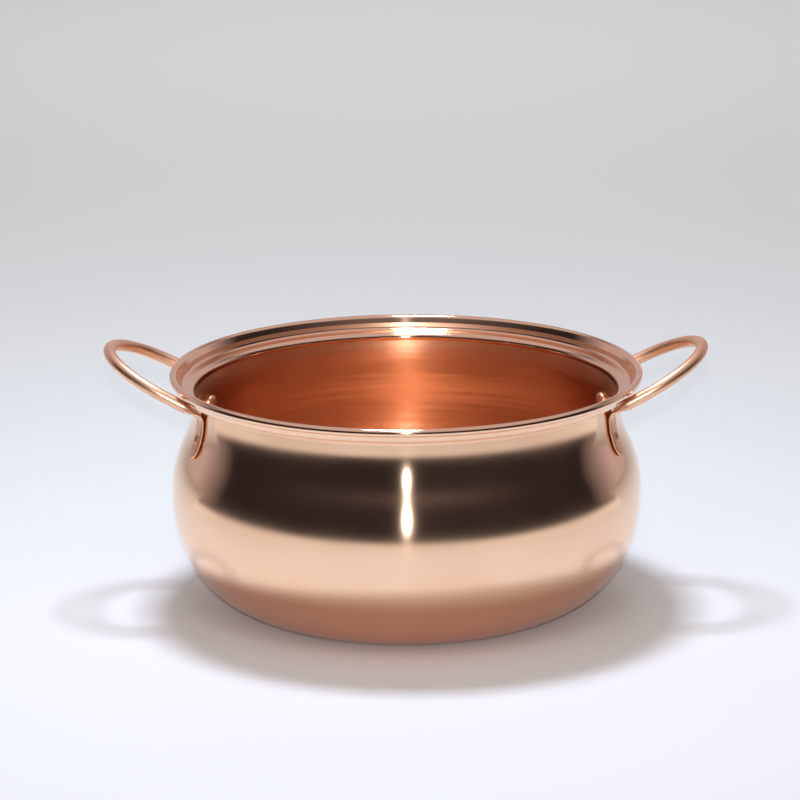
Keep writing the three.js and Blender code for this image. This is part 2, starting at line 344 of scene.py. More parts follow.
    def make(
        self, name: str, stations: list[Station], steps: int,
        material: Material, second: Material | None = None,
    ) -> Object:
        """Loft a piece through its stations.

        Args:
            name: Name of the piece.
            stations: Places in order.
            steps: Points round each section.
            material: Finish of the piece.
            second: Finish between stations marked as second, if the piece has two.

        Returns:
            A plain mesh object that keeps the straightened coordinates and its flatness.
        """
        line = bpy.data.meshes.new(name + "_line")
        places = [s.place + s.across * s.half_width for s in stations]
        line.from_pydata(places, [(i, i + 1) for i in range(len(stations) - 1)], [])
        for key in self.VECTORS:
            parts = [part for s in stations for part in getattr(s, key)]
            line.attributes.new(key, "FLOAT_VECTOR", "POINT").data.foreach_set("vector", parts)
        run = [0.0]
        for before, after in zip(places, places[1:]):
            run.append(run[-1] + (after - before).length)
        for key in self.NUMBERS:
            numbers = run if key == "along" else [getattr(s, key) for s in stations]
            line.attributes.new(key, "FLOAT", "POINT").data.foreach_set("value", numbers)
        made = run_tree(name, line, self.tree, {
            "Section Steps": steps,
            "Material": material,
            "Second Material": second or material,
        })
        for key in self.stored:
            if key != self.READ_LATER:
                made.data.attributes.remove(made.data.attributes[key])
        return made


# Finishes


@dataclass(frozen=True)
class CopperFinish:
    """Bare copper, by how it was worked: its colour, gloss and the lines that the work left, and
    painted shade low down where it is given.
    """

    NOISE_SPAN = (0.2, 0.8)  # noise values between which tone and gloss change
    LINE_DETAIL = 2.0  # octaves of finer noise in the tool lines
    CLOUD_DETAIL = 1.5  # the same in the tone clouds
    DENT_DETAIL = 1.0  # the same in the hammer dents
    QUARTER_TURN = 0.25  # stretches highlights square to the tool lines

    name: str
    bright: str  # hex colour of clean metal
    toned: str  # hex colour where it has begun to tarnish
    roughness: tuple[float, float]  # least and greatest, in wiped and handled places
    grain_mm: tuple[float, float, float]  # size of the tool lines across, under and along
    groove_mm: float  # depth of the tool lines, deep enough to show
    anisotropy: float = 0.0  # stretch of highlights on lines turned about Z
    cloud_mm: float = 45.0  # size of the tone clouds
    dent_mm: float = 0.0  # depth of hammer dents on beaten ends
    dent_size_mm: float = 3.5  # width of one hammer dent
    beaten_dulling: float = 0.0  # roughness that beating adds
    low_mm: tuple[float, float] = (0, 0)  # heights where the marks low down are full, and where they end: painted shade, and scouring
    low_painted_shade: str = ""  # hex colour of painted shade down there, for the shadowed floor that the sheet mirrors
    scoured: float = 0.0  # roughness that scouring adds down there
    high_mm: tuple[float, float] = (0, 0)  # heights where lids begin to rub it, and rub it fully
    rubbed: float = 0.0  # roughness that the rubbing adds up there

    def material(self) -> Material:
        """Build the material.

        Returns:
            A material with one Principled shader.
        """
        made, add = new_material(self.name)
        straight = add("ShaderNodeAttribute", attribute_name="straight").outputs["Vector"]
        place = add("ShaderNodeTexCoord").outputs["Object"]
        lines = self._noise(add, straight, self.grain_mm, self.LINE_DETAIL)
        clouds = self._noise(add, place, (self.cloud_mm,) * 3, self.CLOUD_DETAIL)
        span = {"Value": clouds, "From Min": self.NOISE_SPAN[0], "From Max": self.NOISE_SPAN[1]}
        colour = add("ShaderNodeMix", {
            "Factor": add("ShaderNodeMapRange", span, clamp=False),
            MIX_FROM: linear(self.bright),
            MIX_TO: linear(self.toned),
        }, data_type="RGBA", clamp_factor=False)
        height = add("ShaderNodeSeparateXYZ", {0: place}).outputs["Z"]
        low, high = (
            add("ShaderNodeMapRange", {
                "Value": height, "From Min": none * MM, "From Max": full * MM,
            }, interpolation_type="SMOOTHSTEP")
            for none, full in (self.low_mm[::-1], self.high_mm)
        )
        # Painted shade: a darker, browner colour low on the sheet, for the shadowed floor that it
        # mirrors
        if self.low_painted_shade:
            colour = add("ShaderNodeMix", {
                "Factor": low, MIX_FROM: colour.outputs[MIXED], MIX_TO: linear(self.low_painted_shade),
            }, data_type="RGBA")
        roughness = add("ShaderNodeMapRange", {
            **span, "To Min": self.roughness[0], "To Max": self.roughness[1],
        }, clamp=False)
        normal = add("ShaderNodeBump", {
            "Distance": self.groove_mm * MM, "Height": lines, "Strength": 1.0,
        })
        dulled = [(low, self.scoured), (high, self.rubbed)]
        if self.dent_mm:
            flat = add("ShaderNodeAttribute", attribute_name="flat").outputs["Fac"]
            dents = self._noise(add, place, (self.dent_size_mm,) * 3, self.DENT_DETAIL)
            beaten = add("ShaderNodeMath", {0: dents, 1: flat}, operation="MULTIPLY")
            normal = add("ShaderNodeBump", {
                "Distance": self.dent_mm * MM, "Height": beaten, "Strength": 1.0, "Normal": normal,
            })
            dulled.append((flat, self.beaten_dulling))
        for zone, added in dulled:
            if added:
                roughness = add("ShaderNodeMath", {
                    0: zone, 1: added, 2: roughness,
                }, operation="MULTIPLY_ADD")
        inputs = {
            "Base Color": colour.outputs[MIXED],
            "Metallic": 1.0,
            "Roughness": roughness,
            "Normal": normal,
            "Anisotropic": self.anisotropy,
            "Anisotropic Rotation": self.QUARTER_TURN,
        }
        if self.anisotropy:
            inputs["Tangent"] = add("ShaderNodeTangent", direction_type="RADIAL", axis="Z")
        shader = add("ShaderNodeBsdfPrincipled", inputs)
        add("ShaderNodeOutputMaterial", {"Surface": shader})
        return made

    @staticmethod
    def _noise(
        add: AddNode, vector: NodeSocket, size_mm: tuple[float, float, float], detail: float,
    ) -> Node:
        """Noise with its own size along each axis.

        Args:
            add: Adds a node to the material.
            vector: Coordinates to read, in metres.
            size_mm: Size of its features along each axis.
            detail: Octaves of finer noise.

        Returns:
            Node with a value from about 0 to 1.
        """
        scale = [1 / (size * MM) for size in size_mm]
        scaled = add("ShaderNodeMapping", {"Vector": vector, "Scale": scale})
        return add("ShaderNodeTexNoise", {"Vector": scaled, "Scale": 1.0, "Detail": detail})


# Sheet turned against a former and buffed: a mirror whose highlights stretch up and down, square to
# the buffing, and darker and browner low down: painted shade for the shadowed floor that it mirrors
POLISHED_SHEET = CopperFinish(
    "buffed_copper_sheet", "FAD4B5", "F6CCAD", roughness=(0.09, 0.14),
    grain_mm=(60, 60, 1.2), groove_mm=0.0025, anisotropy=0.95,
    low_mm=(27, 38), low_painted_shade="D8A288",
)
# The same sheet left as the spinning tool made it: satin, with rings that show as soft bands, and
# duller on the scoured floor and where lids rub
SPUN_SHEET = CopperFinish(
    "satin_spun_copper", "F3C09B", "E2A57D", roughness=(0.2, 0.245),
    grain_mm=(200, 200, 11), groove_mm=1.2, anisotropy=0.88,
    low_mm=(8, 45), scoured=0.42, high_mm=(96, 110), rubbed=0.2,
)
# Drawn rod, polished: fine lines along the rod, and shallow hammer dents on the beaten ends
DRAWN_ROD = CopperFinish(
    "polished_copper_rod", "F6C9A8", "EBB594", roughness=(0.32, 0.42),
    grain_mm=(0.6, 0.6, 30), groove_mm=0.002,
    cloud_mm=20, dent_mm=0.05, beaten_dulling=0.1,
)
# Rivet wire with hammered heads: duller, with small facets
HAMMERED_RIVET = CopperFinish(
    "hammered_copper_rivet", "E8B08C", "CF8F6C", roughness=(0.3, 0.38),
    grain_mm=(1.6, 1.6, 1.6), groove_mm=0.25, cloud_mm=6,
)


# Lines of the sheet


def shares(steps: int) -> list[float]:
    """Even shares of a length, from the first after 0 up to 1."""
    return [i / steps for i in range(1, steps + 1)]


def bezier(start: Vector, first: Vector, second: Vector, end: Vector, steps: int) -> list[Vector]:
    """Points of a cubic curve.

    Args:
        start: Where it starts.
        first: Control point after the start.
        second: Control point before the end.
        end: Where it ends.
        steps: Number of points.

    Returns:
        Points in order, without the start.
    """
    made = []
    for t in shares(steps):
        s = 1 - t
        middle = first * (3 * s * s * t) + second * (3 * s * t * t)
        made.append(start * s ** 3 + middle + end * t ** 3)
    return made


def straight_run(start: Vector, end: Vector, steps: int) -> list[Vector]:
    """Points of a straight line, without its start."""
    return [start.lerp(end, t) for t in shares(steps)]


def arc(centre: Vector, radius: float, start: float, turn: float, steps: int) -> list[Vector]:
    """Points of an arc, without its start, clockwise where the turn is negative."""
    angles = [start + turn * t for t in shares(steps)]
    return [centre + Vector((cos(a), sin(a))) * radius for a in angles]


def fold(before: Vector, corner: Vector, after: Vector, radius: float, steps: int) -> list[Vector]:
    """Round a corner of the sheet.

    Args:
        before: Point that the sheet comes from.
        corner: Sharp corner.
        after: Point that the sheet goes to.
        radius: Radius of the fold.
        steps: Number of points after the first.

    Returns:
        Points of the rounded corner, both of its ends among them.
    """
    arriving = (corner - before).normalized()
    leaving = (after - corner).normalized()
    turn = atan2(arriving.x * leaving.y - arriving.y * leaving.x, arriving.dot(leaving))
    start = corner - arriving * (radius * tan(abs(turn) / 2))
    inward = Vector((-arriving.y, arriving.x)) * copysign(radius, turn)
    return [start, *arc(start + inward, radius, atan2(-inward.y, -inward.x), turn, steps)]


# Vessel


@dataclass
class Vessel:
    """Spun copper body: flat base, heel, belly, neck, lid ledge, flared wall and rolled rim."""

    rim_radius: float  # outside of the rolled rim
    height: float
    sheet: float = 1.4 * MM  # thickness
    curl_bore: float = 0.6 * MM  # radius of the hollow in the rolled rim
    curl_turn: float = radians(235)  # how far the rim is rolled over
    gallery_inset: float = 6.5 * MM  # from the rim in to the foot of the flared wall
    gallery_depth: float = 6.9 * MM  # from the rim down to the lid ledge
    ledge_fall: float = 0.9 * MM  # by which the ledge slopes down to the throat
    fold_bore: float = 1.4 * MM  # inner radius of the folds at both ends of the ledge
    neck_inset: float = 11.7 * MM  # from the rim in to the straight neck
    neck_drop: float = 15 * MM  # from the rim down to its foot
    belly_radius: float = 119.6 * MM
    belly_height: float = 59.6 * MM
    base_radius: float = 68 * MM
    heel_flatness: float = 0.56  # shares that set how full each curve is
    heel_steepness: float = 0.62
    belly_fullness: float = 0.5
    neck_fullness: float = 0.42
    turn_steps: int = 240  # points round the vessel
    base_steps: int = 12  # points along each length of the sheet
    curve_steps: int = 44
    straight_steps: int = 4
    throat_steps: int = 10
    gallery_steps: int = 6
    flare_steps: int = 10
    curl_steps: int = 28  # points round the rolled rim

    @property
    def neck_radius(self) -> float:
        """Outside of the straight neck."""
        return self.rim_radius - self.neck_inset

    @property
    def neck_height(self) -> float:
        """Where the shoulder becomes the straight neck."""
        return self.height - self.neck_drop

    def shoulder(self) -> list[Vector]:
        """Middle of the sheet from the widest place up to the neck.

        Returns:
            Points as (radius, height).
        """
        side = Vector((self.belly_radius - self.sheet / 2, self.belly_height))
        neck = Vector((self.neck_radius - self.sheet / 2, self.neck_height))
        rise = Vector((0, neck.y - side.y))
        full = side + rise * self.belly_fullness
        straight = neck - rise * self.neck_fullness
        return [side, *bezier(side, full, straight, neck, self.curve_steps)]

    def middle_line(self) -> list[Vector]:
        """Middle of the sheet from the centre of the base to the end of the rolled rim.

        Returns:
            Points as (radius, height).
        """
        half = self.sheet / 2
        centre = Vector((0, half))
        base_edge = Vector((self.base_radius, half))
        shoulder = self.shoulder()
        run = shoulder[0] - base_edge
        heel = bezier(
            base_edge,
            base_edge + Vector((run.x * self.heel_flatness, 0)),
            shoulder[0] - Vector((0, run.y * self.heel_steepness)),
            shoulder[0],
            self.curve_steps,
        )
        bead = self.curl_bore + self.sheet
        curl_radius = self.curl_bore + half
        curl_centre = Vector((self.rim_radius - bead, self.height - bead))
        gallery = Vector((
            self.rim_radius - self.gallery_inset + half,
            self.height - self.gallery_depth - half,
        ))
        throat = Vector((shoulder[-1].x, gallery.y - self.ledge_fall))
        to_curl = curl_centre - gallery
        flare = atan2(to_curl.y, to_curl.x) + asin(curl_radius / to_curl.length)
        curl_start = flare + pi / 2
        curl_foot = curl_centre + Vector((cos(curl_start), sin(curl_start))) * curl_radius
        fold_radius = self.fold_bore + half
        throat_fold = fold(shoulder[-1], throat, gallery, fold_radius, self.throat_steps)
        gallery_fold = fold(throat, gallery, curl_foot, fold_radius, self.gallery_steps)
        return [
            centre,
            *straight_run(centre, base_edge, self.base_steps),
            *heel,
            *shoulder[1:],
            *straight_run(shoulder[-1], throat_fold[0], self.straight_steps),
            *throat_fold[1:],
            *straight_run(throat_fold[-1], gallery_fold[0], self.straight_steps),
            *gallery_fold[1:],
            *straight_run(gallery_fold[-1], curl_foot, self.flare_steps),
            *arc(curl_centre, curl_radius, curl_start, -self.curl_turn, self.curl_steps),
        ]

    def skin(self, line: list[Vector], side: float) -> list[tuple[Vector, Vector]]:
        """One face of the sheet.

        Args:
            line: Middle of the sheet.
            side: 1 for the outside, -1 for the inside.

        Returns:
            Place and facing at every point of the line.
        """
        made = []
        for i, here in enumerate(line):
            arriving = (here - line[i - 1]).normalized() if i else Vector((0, 0))
            leaving = (line[i + 1] - here).normalized() if i + 1 < len(line) else Vector((0, 0))
            way = (arriving + leaving).normalized()
            facing = Vector((way.y, -way.x)) * side
            made.append((here + facing * self.sheet / 2, facing))
        return made

    def wall_at(self, height: float) -> tuple[Vector, Vector]:
        """Outside of the shoulder or neck at a height.

        Args:
            height: Height above the base.

        Returns:
            Place and facing there, as (radius, height).
        """
        if height >= self.neck_height:
            return Vector((self.neck_radius, height)), Vector((1, 0))
        wall = self.skin(self.shoulder(), 1)
        above = next(i for i, (place, _) in enumerate(wall) if place.y >= height)
        (low, low_facing), (high, high_facing) = wall[above - 1], wall[above]
        share = (height - low.y) / (high.y - low.y)
        return low.lerp(high, share), low_facing.lerp(high_facing, share).normalized()

    def build(self, loft: Loft) -> None:
        """Turn the sheet about Z, satin inside but for the lid ledge, and buffed elsewhere.

        Args:
            loft: Tree that sweeps the sections.
        """
        line = self.middle_line()
        throat = self.height - self.gallery_depth - self.ledge_fall - self.sheet - self.fold_bore
        wall_from = self.height - self.gallery_depth + self.fold_bore / 2
        wall_to = self.height - self.curl_bore - 2 * self.sheet
        outside = [Station.turned(place) for place, _ in self.skin(line, 1)]
        inside = [
            Station.turned(place, place.y < throat or wall_from < place.y < wall_to)
            for place, _ in reversed(self.skin(line, -1))
        ]
        made = loft.make(
            "vessel_sheet", [*outside, *inside], self.turn_steps,
            POLISHED_SHEET.material(), SPUN_SHEET.material(),
        )
        dress(made, "vessel_copper", "vessel")


# Handles and rivets


@dataclass
class Handle:
    """Round rod bent to a sloping loop, its ends beaten flat and bent down against the neck."""

    vessel: Vessel
    rod_diameter: float = 6 * MM
    loop_radius: float = 36 * MM
    loop_stand: float = 30 * MM  # from the rim out to the tip
    loop_tilt: float = radians(28)
    leg_spread: float = 1.5 * MM  # by which a leg stands wider at its tab
    tab_width: float = 9 * MM
    tab_thickness: float = 1.8 * MM
    tab_crown: float = 0.4  # exponents that square the section of a tab
    tab_edge: float = 0.85
    tab_length: float = 21.8 * MM
    tab_end: float = 6 * MM  # length of its rounded end
    flatten_length: float = 10 * MM  # over which the rod goes from flat to round
    bend_radius: float = 4 * MM
    bend_rise: float = 0.9 * MM  # corner of the bend above the foot of the neck
    seat_gap: float = 0.1 * MM  # under a tab, to show as a thin dark line
    section_steps: int = 40  # points round the rod
    tab_steps: int = 14  # stations along a rounded end, a tab and a bend
    tab_start: float = 0.3  # share of a step at which the rounded end starts
    leg_steps: int = 18
    loop_steps: int = 36

    @property
    def bend_height(self) -> float:
        """Corner of the bend between leg and tab."""
        return self.vessel.neck_height + self.bend_rise

    @property
    def bend_reach_from_axis(self) -> float:
        """Corner of the bend, from the axis of the pot."""
        return self.vessel.neck_radius + self.seat_gap + self.tab_thickness / 2

    @property
    def tab_azimuth(self) -> float:
        """Angle of a tab about Z from the middle of its handle."""
        return asin((self.loop_radius + self.leg_spread) / self.bend_reach_from_axis)

    @property
    def outward(self) -> Vector:
        """Way out from the axis over a tab."""
        return Vector((cos(self.tab_azimuth), sin(self.tab_azimuth), 0))

    def station(self, place: Vector, under: Vector, flat: float, width: float = 1.0) -> Station:
        """A place along the rod, before its section is squared to the rod's own direction.

        Args:
            place: Middle of the rod.
            under: Way that the underside faces.
            flat: 0 where the rod is round, 1 where it is beaten flat.
            width: Share of the full width, below 1 at the rounded end of a tab.

        Returns:
            The station.
        """
        wide = self.rod_diameter + (self.tab_width - self.rod_diameter) * flat
        thick = self.rod_diameter + (self.tab_thickness - self.rod_diameter) * flat
        power_across = 1 + (self.tab_crown - 1) * flat
        power_under = 1 + (self.tab_edge - 1) * flat
        return Station(
            place, BACK, under, wide / 2 * width, thick / 2, power_across, power_under, flat,
        )

    def tab_station(self, height: float, width: float = 1.0) -> Station:
        """A place on the tab, a seat gap and half its own thickness off the wall.

        Args:
            height: Height on the wall.
            width: Share of the full width.

        Returns:
            The station.
        """
        wall, facing = self.vessel.wall_at(height)
        middle = wall + facing * (self.seat_gap + self.tab_thickness / 2)
        under = self.outward * facing.x + UP * facing.y
        return self.station(self.outward * middle.x + UP * middle.y, under, 1.0, width)

    def flatness(self, run: float, bend_reach: float) -> float:
        """How flat the rod is, by its distance from the corner of the bend."""
        share = min(max((run - bend_reach) / (self.flatten_length - bend_reach), 0.0), 1.0)
        return 1 - share * share * (3 - 2 * share)

    def half(self) -> list[Station]:
        """Stations from the rounded end of a tab to the tip of the loop.

        Returns:
            Stations of the half at +Y.
        """
        corner = self.outward * self.bend_reach_from_axis + UP * self.bend_height
        along = Vector((cos(self.loop_tilt), 0, sin(self.loop_tilt)))
        under = Vector((sin(self.loop_tilt), 0, -cos(self.loop_tilt)))
        tip_run = (self.vessel.rim_radius + self.loop_stand - corner.x) / along.x
        centre_run = tip_run - self.loop_radius
        centre = Vector((corner.x, 0, corner.z)) + along * centre_run
        reach = hypot(corner.y, centre_run)
        leg_angle = atan2(corner.y, -centre_run) - acos(self.loop_radius / reach)

        def loop_point(angle: float) -> Vector:
            """A point of the loop, by its angle from the tip."""
            sideways = Vector((0, self.loop_radius * sin(angle), 0))
            return centre + along * (self.loop_radius * cos(angle)) + sideways

        leg = loop_point(leg_angle) - corner
        leg_length = leg.length
        leg.normalize()
        bend_reach = self.bend_radius * tan(leg.angle(UP) / 2)
        tab_top = corner.z - bend_reach
        end_height = corner.z - self.tab_length + self.tab_end

        made = []
        for i in range(self.tab_steps):
            lean = (i + self.tab_start) / self.tab_steps * pi / 2
            low = end_height - self.tab_end * cos(lean)
            made.append(self.tab_station(low, sin(lean)))
        for t in (0.0, *shares(self.tab_steps)):
            made.append(self.tab_station(end_height + (tab_top - end_height) * t))
        bend_start = made[-1].place
        bend_end = corner + leg * bend_reach
        for t in shares(self.tab_steps):
            place = bend_start * (1 - t) ** 2 + corner * (2 * t * (1 - t)) + bend_end * t ** 2
            made.append(self.station(place, self.outward.lerp(under, t).normalized(), 1.0))
        for t in shares(self.leg_steps):
            run = bend_reach + (leg_length - bend_reach) * t
            made.append(self.station(corner + leg * run, under, self.flatness(run, bend_reach)))
        for t in shares(self.loop_steps):
            angle = leg_angle * (1 - t)
            run = leg_length + self.loop_radius * (leg_angle - angle)
            made.append(self.station(loop_point(angle), under, self.flatness(run, bend_reach)))
        return made

    def stations(self, side: Side) -> list[Station]:
        """Stations of a whole handle, each section square to the rod.

        Args:
            side: Side of the pot.

        Returns:
            Stations from the tab at +Y to the other, turned to that side.
        """
        half = self.half()
        mirror = Matrix.Diagonal((1, -1, 1))
        other = [
            replace(s, place=mirror @ s.place, under=mirror @ s.under)
            for s in reversed(half[:-1])
        ]
        rough = [*half, *other]
        turn = Matrix.Rotation(side.value, 3, "Z")
        made = []
        for i, s in enumerate(rough):
            before, after = rough[max(i - 1, 0)], rough[min(i + 1, len(rough) - 1)]
            way = (after.place - before.place).normalized()
            across = way.cross(s.under).normalized()
            under = across.cross(way).normalized()
            made.append(replace(s, place=turn @ s.place, across=turn @ across, under=turn @ under))
        return made

    def build(self, loft: Loft, side: Side, material: Material) -> None:
        """Loft one handle.

        Args:
            loft: Tree that sweeps the sections.
            side: Side of the pot.
            material: Finish of the rod.
        """
        name = side.name.lower()
        made = loft.make("handle_rod_" + name, self.stations(side), self.section_steps, material)
        dress(made, "handle_copper", "handle_" + name)


@dataclass
class RivetSet:
    """Four rivets, a domed head inside the pot and a low head on the tab, square to the wall."""

    handle: Handle
    drop: float = 12.6 * MM  # from the corner of the bend
    shank_diameter: float = 3.6 * MM
    inner_head_diameter: float = 9.4 * MM
    inner_head_height: float = 3.6 * MM
    outer_head_diameter: float = 5 * MM
    outer_head_height: float = 0.9 * MM
    seat_gap: float = 0.1 * MM
    turn_steps: int = 32
    head_steps: int = 12

    def outline(self) -> list[Vector]:
        """Outline of one rivet.

        Returns:
            Points as (radius, height), with the height measured out from the wall.
        """
        inner = -self.handle.vessel.sheet - self.seat_gap
        outer = 2 * self.seat_gap + self.handle.tab_thickness
        shank = self.shank_diameter / 2
        inner_radius = self.inner_head_diameter / 2
        outer_radius = self.outer_head_diameter / 2
        quarter = [pi / 2 * t for t in (0.0, *shares(self.head_steps))]
        inner_head = [
            Vector((inner_radius * sin(a), inner - self.inner_head_height * cos(a)))
            for a in quarter
        ]
        outer_head = [
            Vector((outer_radius * cos(a), outer + self.outer_head_height * sin(a)))
            for a in quarter
        ]
        return [*inner_head, Vector((shank, inner)), Vector((shank, outer)), *outer_head]

    def scatter_tree(self) -> NodeTree:
        """Tree that sets a rivet on every seat, along the axis stored there.

        Returns:
            The tree.
        """
        tree, add, group = new_geometry_tree("rivets_on_seats", {
            "Rivet": "NodeSocketObject",
            "Material": "NodeSocketMaterial",
        })
        rivet = add("GeometryNodeObjectInfo", {
            "Object": group.outputs["Rivet"], "As Instance": True,
        })
        axis = add("GeometryNodeInputNamedAttribute", {"Name": "axis"}, data_type="FLOAT_VECTOR")
        turn = add("FunctionNodeAlignRotationToVector", {
            "Vector": axis.outputs["Attribute"],
        }, axis="Z")
        set_out = add("GeometryNodeInstanceOnPoints", {
            "Points": group.outputs["Geometry"],
            "Instance": rivet.outputs["Geometry"],
            "Rotation": turn,
        })
        solid = add("GeometryNodeRealizeInstances", {"Geometry": set_out})
        dressed = add("GeometryNodeSetMaterial", {
            "Geometry": solid, "Material": group.outputs["Material"],
        })
        add("NodeGroupOutput", {0: dressed})
        return tree

    def build(self, loft: Loft) -> None:
        """Make one rivet and set it on the four seats.

        Args:
            loft: Tree that sweeps the sections.
        """
        material = HAMMERED_RIVET.material()
        stations = [Station.turned(point) for point in self.outline()]
        pattern = loft.make("rivet_pattern", stations, self.turn_steps, material)
        wall, facing = self.handle.vessel.wall_at(self.handle.bend_height - self.drop)
        seats = bpy.data.meshes.new("rivet_seats")
        places = []
        axes = []
        for side in Side:
            for azimuth in (self.handle.tab_azimuth, -self.handle.tab_azimuth):
                turn = Matrix.Rotation(side.value + azimuth, 3, "Z")
                places.append(turn @ Vector((wall.x, 0, wall.y)))
                axes.extend(turn @ Vector((facing.x, 0, facing.y)))
        seats.from_pydata(places, [], [])
        seats.attributes.new("axis", "FLOAT_VECTOR", "POINT").data.foreach_set("vector", axes)
        made = run_tree("rivet_heads", seats, self.scatter_tree(), {
            "Rivet": pattern, "Material": material,
        })
        bpy.data.objects.remove(pattern)
        dress(made, "rivet_copper", *(
            f"rivet_{side.name.lower()}_{end}" for side in Side for end in ("front", "back")
        ))


# Studio


def add_stage_mesh(
    name: str, points: list[Vector], faces: list[tuple[int, ...]], material: Material,
) -> Object:
    """Add a mesh that is no part of the pot.

    Args:
        name: Name of the object.
        points: Its corners.
        faces: Corner numbers of each face.
        material: Its material.

    Returns:
        The object, marked as stage.
    """
    mesh = bpy.data.meshes.new(name)
    mesh.from_pydata(points, [], faces)
    mesh.materials.append(material)
    made = bpy.data.objects.new(name, mesh)
    bpy.context.scene.collection.objects.link(made)
    return made


@dataclass(frozen=True)
class PaperFinish:
    """Matt paper, white by the pot and falling to pale grey further off: the fall is painted light
    falloff.
    """

    name: str = "matt_graded_paper"
    near: str = "F3F5FA"
    far: str = "E4E7E8"
    centre: Vector = Vector((0, -0.6, 0))
    fade: tuple[float, float] = (0.3, 1.0)  # distances between which the painted light falloff runs
    roughness: float = 0.95
    specular: float = 0.1

    def material(self) -> Material:
        """Build the material.

        Returns:
            A material with one Principled shader.
        """
        made, add = new_material(self.name)
        place = add("ShaderNodeTexCoord").outputs["Object"]
        away = add("ShaderNodeVectorMath", {0: place, 1: self.centre}, operation="DISTANCE")
        share = add("ShaderNodeMapRange", {
            "Value": away.outputs["Value"], "From Min": self.fade[0], "From Max": self.fade[1],
        }, interpolation_type="SMOOTHSTEP")
        # Painted light falloff: the paper's colour greys with distance from a point in front of the
        # pot
        colour = add("ShaderNodeMix", {
            "Factor": share, MIX_FROM: linear(self.near), MIX_TO: linear(self.far),
        }, data_type="RGBA")
        shader = add("ShaderNodeBsdfPrincipled", {
            "Base Color": colour.outputs[MIXED],
            "Roughness": self.roughness,
            "Specular IOR Level": self.specular,
        })
        add("ShaderNodeOutputMaterial", {"Surface": shader})
        return made


@dataclass
class RoomGlow:
    """Dome that only metal shows: dark in front, pale at the sides and back, overhead and below."""

    name: str = "room_in_metal"
    reach: float = 5.0  # radius of the dome
    lift: float = 0.5 * MM  # height over the floor
    tint: str = "FFECF3"  # colour of its dimmer parts
    dark: float = 0.022  # level in front
    dark_half_angle: float = radians(112)  # how far round the dark goes to each side
    dark_fade: float = radians(13)  # over which it ends, to either side of that
    side_level: float = 0.54
    side_from: float = radians(26)  # elevations between which the sides end
    side_by: float = radians(42)
    upper_level: float = 0.6
    upper_from: float = radians(33)  # elevations between which the upper part begins
    upper_by: float = radians(42)
    floor_level: float = 0.9
    floor_from: float = 0.36  # where a pale ring on the floor in front begins
    dark_from: float = 0.54  # distances between which that ring turns dark
    dark_by: float = 0.66
    rise_steps: int = 24
    turn_steps: int = 72

    def material(self) -> Material:
        """Build the glow.

        Returns:
            A material that gives light only.
        """
        made, add = new_material(self.name)
        place = add("ShaderNodeTexCoord").outputs["Object"]
        axes = add("ShaderNodeSeparateXYZ", {0: place})
        front = add("ShaderNodeMath", {0: axes.outputs["Y"], 1: -1.0}, operation="MULTIPLY")
        turn = add("ShaderNodeMath", {0: axes.outputs["X"], 1: front}, operation="ARCTAN2")
        away = add("ShaderNodeMath", {0: turn}, operation="ABSOLUTE")
        sides = add("ShaderNodeMapRange", {
            "Value": away,
            "From Min": self.dark_half_angle - self.dark_fade,
            "From Max": self.dark_half_angle + self.dark_fade,
            "To Max": self.side_level,
        })
        low, upper = (
            add("ShaderNodeMapRange", {
                "Value": axes.outputs["Z"],
                "From Min": self.reach * sin(start),
                "From Max": self.reach * sin(end),
                "To Min": below,
                "To Max": above,
            })
            for start, end, below, above in (
                (self.side_from, self.side_by, 1.0, 0.0),
                (self.upper_from, self.upper_by, self.dark, self.upper_level),
            )
        )
        reach = add("ShaderNodeVectorMath", {0: place}, operation="LENGTH")
        near = add("ShaderNodeMapRange", {
            "Value": reach.outputs["Value"],
            "From Min": self.dark_from,
            "From Max": self.dark_by,
            "To Min": self.floor_level,
            "To Max": self.dark,
        })
        level = add("ShaderNodeMath", {0: sides, 1: low}, operation="MULTIPLY")
        for part in (near, upper):
            level = add("ShaderNodeMath", {0: level, 1: part}, operation="MAXIMUM")
        pale = add("ShaderNodeMapRange", {
            "Value": level, "From Min": self.side_level, "From Max": self.floor_level,
        })
        tint = add("ShaderNodeMix", {
            "Factor": pale, MIX_FROM: linear(self.tint), MIX_TO: WHITE,
        }, data_type="RGBA")
        glow = add("ShaderNodeEmission", {"Color": tint.outputs[MIXED], "Strength": level})
        add("ShaderNodeOutputMaterial", {"Surface": glow})
        return made

    def build(self) -> None:
        """Stand the dome round the pot, with its ring on the floor in front."""
        rows = [(self.floor_from, self.lift), (self.dark_by, self.lift)]
        ring_rows = len(rows)
        for t in (0.0, *shares(self.rise_steps)):
            rise = pi / 2 * t
            rows.append((self.reach * cos(rise), self.reach * sin(rise) + self.lift))
        points = []
        for i in range(self.turn_steps):
            turn = tau * (i + 0.5) / self.turn_steps - pi
            points.extend(Vector((r * sin(turn), -r * cos(turn), z)) for r, z in rows)
        width = len(rows)
        faces = []
        for i in range(self.turn_steps):
            turn = tau * (i + 1) / self.turn_steps - pi
            for j in range(0 if abs(turn) < self.dark_half_angle else ring_rows, width - 1):
                here = i * width + j
                beside = (i + 1) % self.turn_steps * width + j
                faces.append((here, beside, beside + 1, here + 1))
        made = add_stage_mesh(self.name, points, faces, self.material())
        made.visible_camera = False
        made.visible_diffuse = False
        made.visible_shadow = False


class LampShape(Enum):
    """Shape of a lamp, by Blender's name for it."""

    POINT = "POINT"
    DISK = "DISK"
    PANEL = "RECTANGLE"


